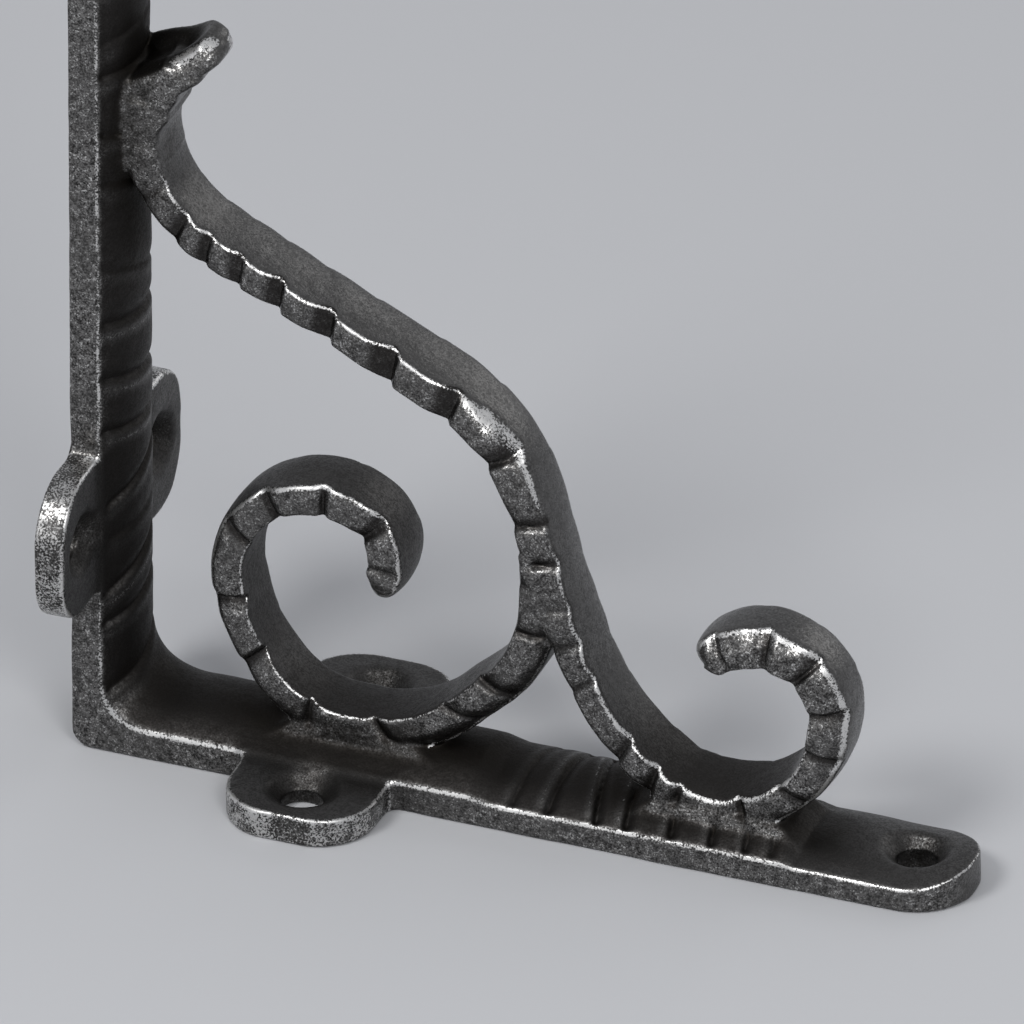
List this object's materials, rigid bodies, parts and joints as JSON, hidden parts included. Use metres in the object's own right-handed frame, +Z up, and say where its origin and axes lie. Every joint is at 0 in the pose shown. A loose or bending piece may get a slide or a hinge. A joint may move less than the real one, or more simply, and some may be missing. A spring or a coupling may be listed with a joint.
{
  "type": "shelf bracket",
  "caption": "Right-angle iron shelf bracket with a hammered scroll brace, an inner C-scroll, rounded leg ends and countersunk screw ears.",
  "frame": {"origin": "on the flat outer face of the shelf leg, midway between its two ear holes; the wall leg's outer face lies 42 mm behind it", "axes": "+X along the shelf leg to its rounded end, +Z up the wall leg, Y across the width"},
  "size_m": [0.15, 0.0514, 0.16],
  "materials": {
    "dark_iron": "dark sand-cast iron, waxed, with a fine grain",
    "rubbed_iron": "dark iron rubbed to a satin grey on its edges and outer faces"
  },
  "bodies": {
    "root": {"wall_leg": "dark_iron", "shelf_leg": "dark_iron", "corner_bend": "dark_iron", "wall_ear_near": "dark_iron", "wall_ear_far": "dark_iron", "shelf_ear_near": "dark_iron", "shelf_ear_far": "dark_iron", "scroll_foot": "dark_iron", "curl_foot": "dark_iron", "brace_scroll": "rubbed_iron", "spur": "rubbed_iron", "inner_scroll": "rubbed_iron"}
  },
  "joints": []
}
